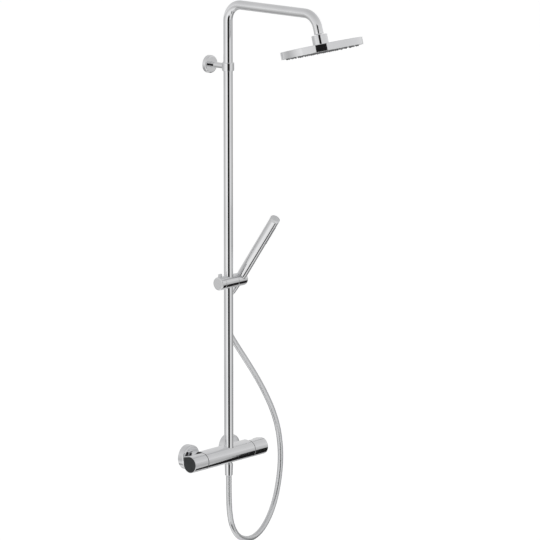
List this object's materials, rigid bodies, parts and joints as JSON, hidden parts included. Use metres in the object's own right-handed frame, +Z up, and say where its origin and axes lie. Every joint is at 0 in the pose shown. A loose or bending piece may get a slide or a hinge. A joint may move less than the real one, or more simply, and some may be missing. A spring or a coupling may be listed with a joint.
{
  "type": "rainfall shower column",
  "caption": "Wall-mounted thermostatic shower column: two-handle bar mixer, bent riser with a round overhead rain head, sliding holder with stick hand shower, and a hanging hose.",
  "frame": {"origin": "on the finished wall, midway between the two water inlets, at the height of the mixer bar's axis", "axes": "+X right along the wall seen from the room, -Y out of the wall into the room, +Z up"},
  "size_m": [0.3613, 0.4781, 1.3796],
  "materials": {
    "chrome": "mirror-bright chrome plate",
    "brass": "machined, dull",
    "steel": "machined stainless",
    "black_rubber": "matt",
    "grey_rubber": "matt silicone",
    "dark_insert": "smooth dark charcoal",
    "white_plastic": "moulded",
    "grey_plastic": "satin light grey",
    "silver_hose": "smooth metallic silver sleeve"
  },
  "bodies": {
    "column": {"mixer_body": "chrome", "s_union_left": "chrome", "s_union_right": "chrome", "escutcheon_left": "chrome", "escutcheon_right": "chrome", "union_nut_left": "chrome", "union_nut_right": "chrome", "check_valves": "white_plastic", "inlet_seals": "black_rubber", "thermostatic_cartridge": "white_plastic", "diverter_cartridge": "white_plastic", "cartridge_nuts": "brass", "riser_tube": "chrome", "riser_seal": "black_rubber", "riser_set_screw": "steel", "tube_coupler": "brass", "coupler_orings": "black_rubber", "arm_tube": "chrome", "bracket_flange": "chrome", "bracket_wall_plate": "steel", "bracket_post": "chrome", "bracket_ring": "chrome", "bracket_grub_screw": "steel", "hose": "silver_hose", "hose_outlet_nut": "chrome", "outlet_nipple": "chrome", "outlet_washer": "black_rubber", "head_ball_stud": "chrome", "head_flow_restrictor": "brass"},
    "temperature_grip": {"temperature_handle": "chrome", "temperature_insert": "dark_insert", "temperature_screw": "steel", "temperature_spindle": "white_plastic"},
    "diverter_grip": {"diverter_handle": "chrome", "diverter_insert": "dark_insert", "diverter_screw": "steel", "diverter_spindle": "white_plastic"},
    "carriage": {"slider_bush": "white_plastic"},
    "slider": {"slider_body": "chrome", "brake_pad": "black_rubber", "holder_pivot": "steel", "friction_ring": "white_plastic"},
    "lock_knob": {"slider_knob": "chrome", "knob_spindle": "steel"},
    "holder": {"handset_holder": "chrome"},
    "hose_end": {"hose_cone_nut": "chrome"},
    "handset": {"handset_body": "chrome", "handset_cap": "grey_plastic", "handset_tail": "grey_plastic", "handset_washer": "black_rubber", "handset_spray_plate": "chrome", "handset_nozzles": "grey_rubber"},
    "ball_seat": {"head_seat_ring": "white_plastic"},
    "ball_slip": {"head_slip_ring": "white_plastic"},
    "rain_head": {"head_collar": "chrome", "head_shell": "chrome", "head_spray_plate": "grey_plastic", "head_nozzle_mat": "grey_rubber"}
  },
  "joints": [
    {"name": "temperature_turn", "type": "hinge", "parent": "column", "child": "temperature_grip", "pos_m": [-0.11, -0.065, 0], "axis": [1, 0, 0], "range_deg": [-120, 90]},
    {"name": "diverter_turn", "type": "hinge", "parent": "column", "child": "diverter_grip", "pos_m": [0.11, -0.065, 0], "axis": [1, 0, 0], "range_deg": [-90, 90]},
    {"name": "slider_slide", "type": "slide", "parent": "column", "child": "carriage", "axis": [0, 0, 1], "range_m": [-0.2, 0.15], "deforming": ["hose"]},
    {"name": "slider_swivel", "type": "hinge", "parent": "carriage", "child": "slider", "pos_m": [0.01, -0.065, 0.437], "axis": [0, 0, 1], "range_deg": [-45, 8]},
    {"name": "slider_lock", "type": "hinge", "parent": "slider", "child": "lock_knob", "pos_m": [-0.018, -0.065, 0.437], "axis": [1, 0, 0], "range_deg": [-75, 0]},
    {"name": "holder_tilt", "type": "hinge", "parent": "slider", "child": "holder", "pos_m": [0.05, -0.065, 0.437], "axis": [1, 0, 0], "range_deg": [-35, 10]},
    {"name": "handset_lift", "type": "slide", "parent": "holder", "child": "hose_end", "axis": [0, -0.5779, 0.8161], "range_m": [0, 0.06]},
    {"name": "handset_spin", "type": "hinge", "parent": "hose_end", "child": "handset", "pos_m": [0.05, -0.065, 0.437], "axis": [0, -0.5779, 0.8161], "continuous": true},
    {"name": "head_pitch", "type": "hinge", "parent": "column", "child": "ball_seat", "pos_m": [0.01, -0.36005, 1.06711], "axis": [1, 0, 0], "range_deg": [-10, 10]},
    {"name": "head_roll", "type": "hinge", "parent": "ball_seat", "child": "ball_slip", "pos_m": [0.01, -0.36005, 1.06711], "axis": [0, 0.9659, -0.2588], "range_deg": [-10, 10]},
    {"name": "head_spin", "type": "hinge", "parent": "ball_slip", "child": "rain_head", "pos_m": [0.01, -0.36005, 1.06711], "axis": [0, -0.2588, -0.9659], "continuous": true}
  ]
}
